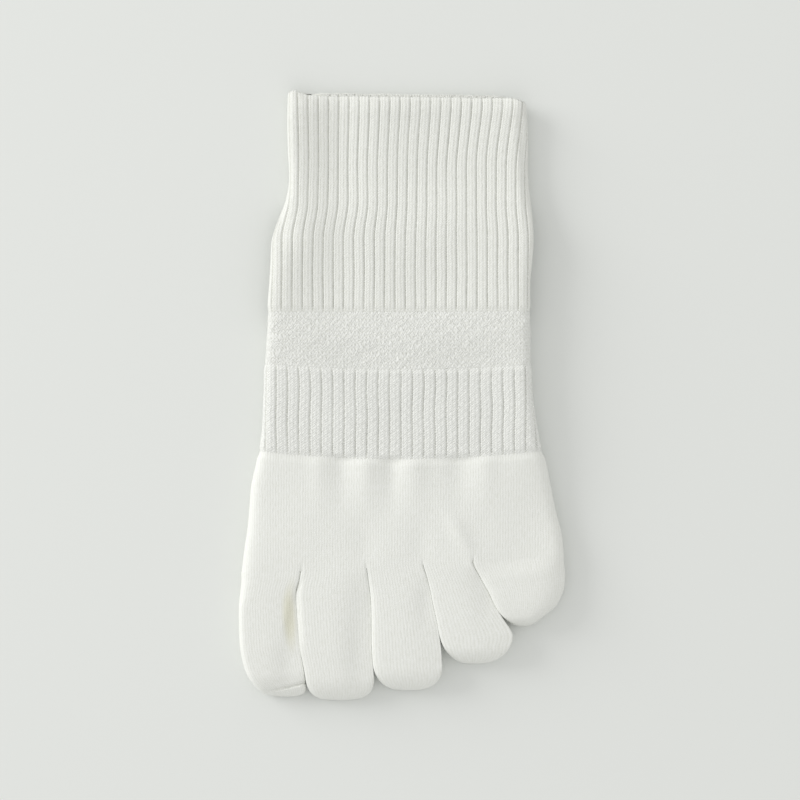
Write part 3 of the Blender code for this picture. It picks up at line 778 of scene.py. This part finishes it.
def toeRing(node, toe, share, wall, columns):
    below = share * (toe["reach"] - wall)
    fade = 1 - float(smoothStep(share / toeBuild["slantShare"]))
    rootward = 1 - float(smoothStep(share / toeBuild["rootShare"]))
    first = node == toeNames[0]
    last = node == toeNames[-1]
    sides = toePlan(toe, share, below, fade, rootward, first, last)
    left, right = sides[0] + wall * (sides[1] > sides[0]), sides[1] - wall
    right = max(right, left + toeBuild["least"])
    across = -np.cos(np.linspace(0, math.pi, toeBuild["points"]))
    x = left + (right - left) * (across + 1) / 2
    upper, lower, ending = toeFaces(toe, share, across)
    # At the root both faces take up the foot's, with its pits between the toes
    rootUpper, rootLower = footEdgeSection(x)
    parted = crotchShare(across, first, last)
    rootUpper = (rootUpper + upperRelief(toeLine, x, rootUpper, footTall)) * parted
    rootLower = np.maximum(rootLower, footTall * crotchLow * (1 - parted) / (1 - crotchLow))
    upper = upper + (rootUpper - upper) * rootward
    lower = lower + (rootLower - lower) * rootward
    upper = upper + toeRelief(node, x, below) * ending * smoothStep(share / toeBuild["reliefFrom"])
    lower = np.minimum(lower, upper)
    inset = np.minimum(wall, (upper - lower) * toeBuild["wallShare"])
    upper = upper - inset
    lower = lower + inset
    # Once round: over the top from the left, back along the belly
    ringX = np.concatenate([x, x[::-1][1:]])
    ringZ = np.concatenate([upper, lower[::-1][1:]])
    ringX[-1], ringZ[-1] = ringX[0], ringZ[0]
    arc = np.concatenate([[0], np.cumsum(np.hypot(np.diff(ringX), np.diff(ringZ)))])
    half = columns // 2 + 1
    overTop = np.linspace(0, arc[len(x) - 1], half)
    alongBelly = np.linspace(arc[len(x) - 1], arc[-1], half)
    at = np.concatenate([overTop, alongBelly[1:]])
    ringX, ringZ = np.interp(at, arc, ringX), np.interp(at, arc, ringZ)
    y = cuffY / mm - toeLine - below + bandBow(toeLine, ringX) * fade
    return np.stack([ringX + midX / mm, y, ringZ], axis=-1)


def toePiece(node, toe):
    columns = toeBuild["columns"]
    shares = np.linspace(0, 1.0, toeBuild["rows"] + 1)
    shares = np.sin(shares * math.pi / 2) ** 1.05
    shares = np.concatenate([[0, endStep / toe["reach"]], shares[1:]])
    innerShares = np.linspace(1.0, 0, toeBuild["liningRows"])
    outer = [toeRing(node, toe, share, 0, columns) for share in shares]
    inner = [toeRing(node, toe, share, toeBuild["wall"], columns) for share in innerShares]
    points = np.array(inner + outer)
    along = np.concatenate([innerShares, shares]) * toe["reach"] + toeLine
    root = outer[0]
    around = np.hypot(np.diff(root[:, 0]), np.diff(root[:, 2]))
    uvAcross = np.concatenate([[0], np.cumsum(around)])
    # Wales go on where the foot's end
    uvAcross += root[columns // 4, 0] - midX / mm - uvAcross[columns // 4]
    piece = gridPiece("toe" + node.split("_")[1].title() + "Knit", points, uvAcross, along)
    dressNode(piece, node, paintedFoldShadeKnit if node == "toe_big" else plainKnit)


for node, toe in toes.items():
    toePiece(node, toe)

print("sock knitted")


# Stage: a plain pale floor, one big soft light from the upper left, an even sky
def addFloor():
    bm = bmesh.new()
    bmesh.ops.create_grid(bm, x_segments=1, y_segments=1, size=1.5)
    mesh = bpy.data.meshes.new("floor")
    bm.to_mesh(mesh)
    bm.free()
    floor = bpy.data.objects.new("floor", mesh)
    bpy.context.scene.collection.objects.link(floor)
    # Matt white paper: even, without a shine, and soft in its shadows
    material = bpy.data.materials.new("palePaper")
    material.use_nodes = True
    shader = material.node_tree.nodes["Principled BSDF"]
    shader.inputs["Base Color"].default_value = linearColour("#e3e5e2")
    shader.inputs["Roughness"].default_value = 0.9
    shader.inputs["Specular IOR Level"].default_value = 0.1
    mesh.materials.append(material)


lighting = {"keyWatts": 35.0, "keySize": 1.6, "keyFrom": (-2.1, 1.05, 0.80), "sky": 0.80}


def aim(thing, target):
    way = np.array(target) - np.array(thing.location)
    pitch = math.atan2(math.hypot(way[0], way[1]), -way[2])
    thing.rotation_euler = (pitch, 0, math.atan2(way[1], way[0]) - math.pi / 2)


def addLights():
    data = bpy.data.lights.new("softKey", "AREA")
    data.shape = "DISK"
    data.size = lighting["keySize"]
    data.energy = lighting["keyWatts"]
    key = bpy.data.objects.new("softKey", data)
    key.location = lighting["keyFrom"]
    aim(key, (0, 0, 0))
    bpy.context.scene.collection.objects.link(key)
    world = bpy.data.worlds.new("evenSky")
    bpy.context.scene.world = world
    world.use_nodes = True
    sky = world.node_tree.nodes["Background"]
    sky.inputs["Color"].default_value = (1.0, 1.0, 0.99, 1.0)
    sky.inputs["Strength"].default_value = lighting["sky"]


camera = {"height": 1.2, "above": 0.006, "frameWide": 0.2848, "sensor": 36, "centre": (-0.0007, -0.0013)}


def addCamera():
    data = bpy.data.cameras.new("overhead")
    data.sensor_width = camera["sensor"]
    data.lens = camera["sensor"] * camera["height"] / camera["frameWide"]
    eye = bpy.data.objects.new("overhead", data)
    eye.location = (camera["centre"][0], camera["centre"][1], camera["height"] + camera["above"])
    bpy.context.scene.collection.objects.link(eye)
    bpy.context.scene.camera = eye


addFloor()
addLights()
addCamera()
bpy.context.scene.view_settings.view_transform = "Standard"
print("stage set")
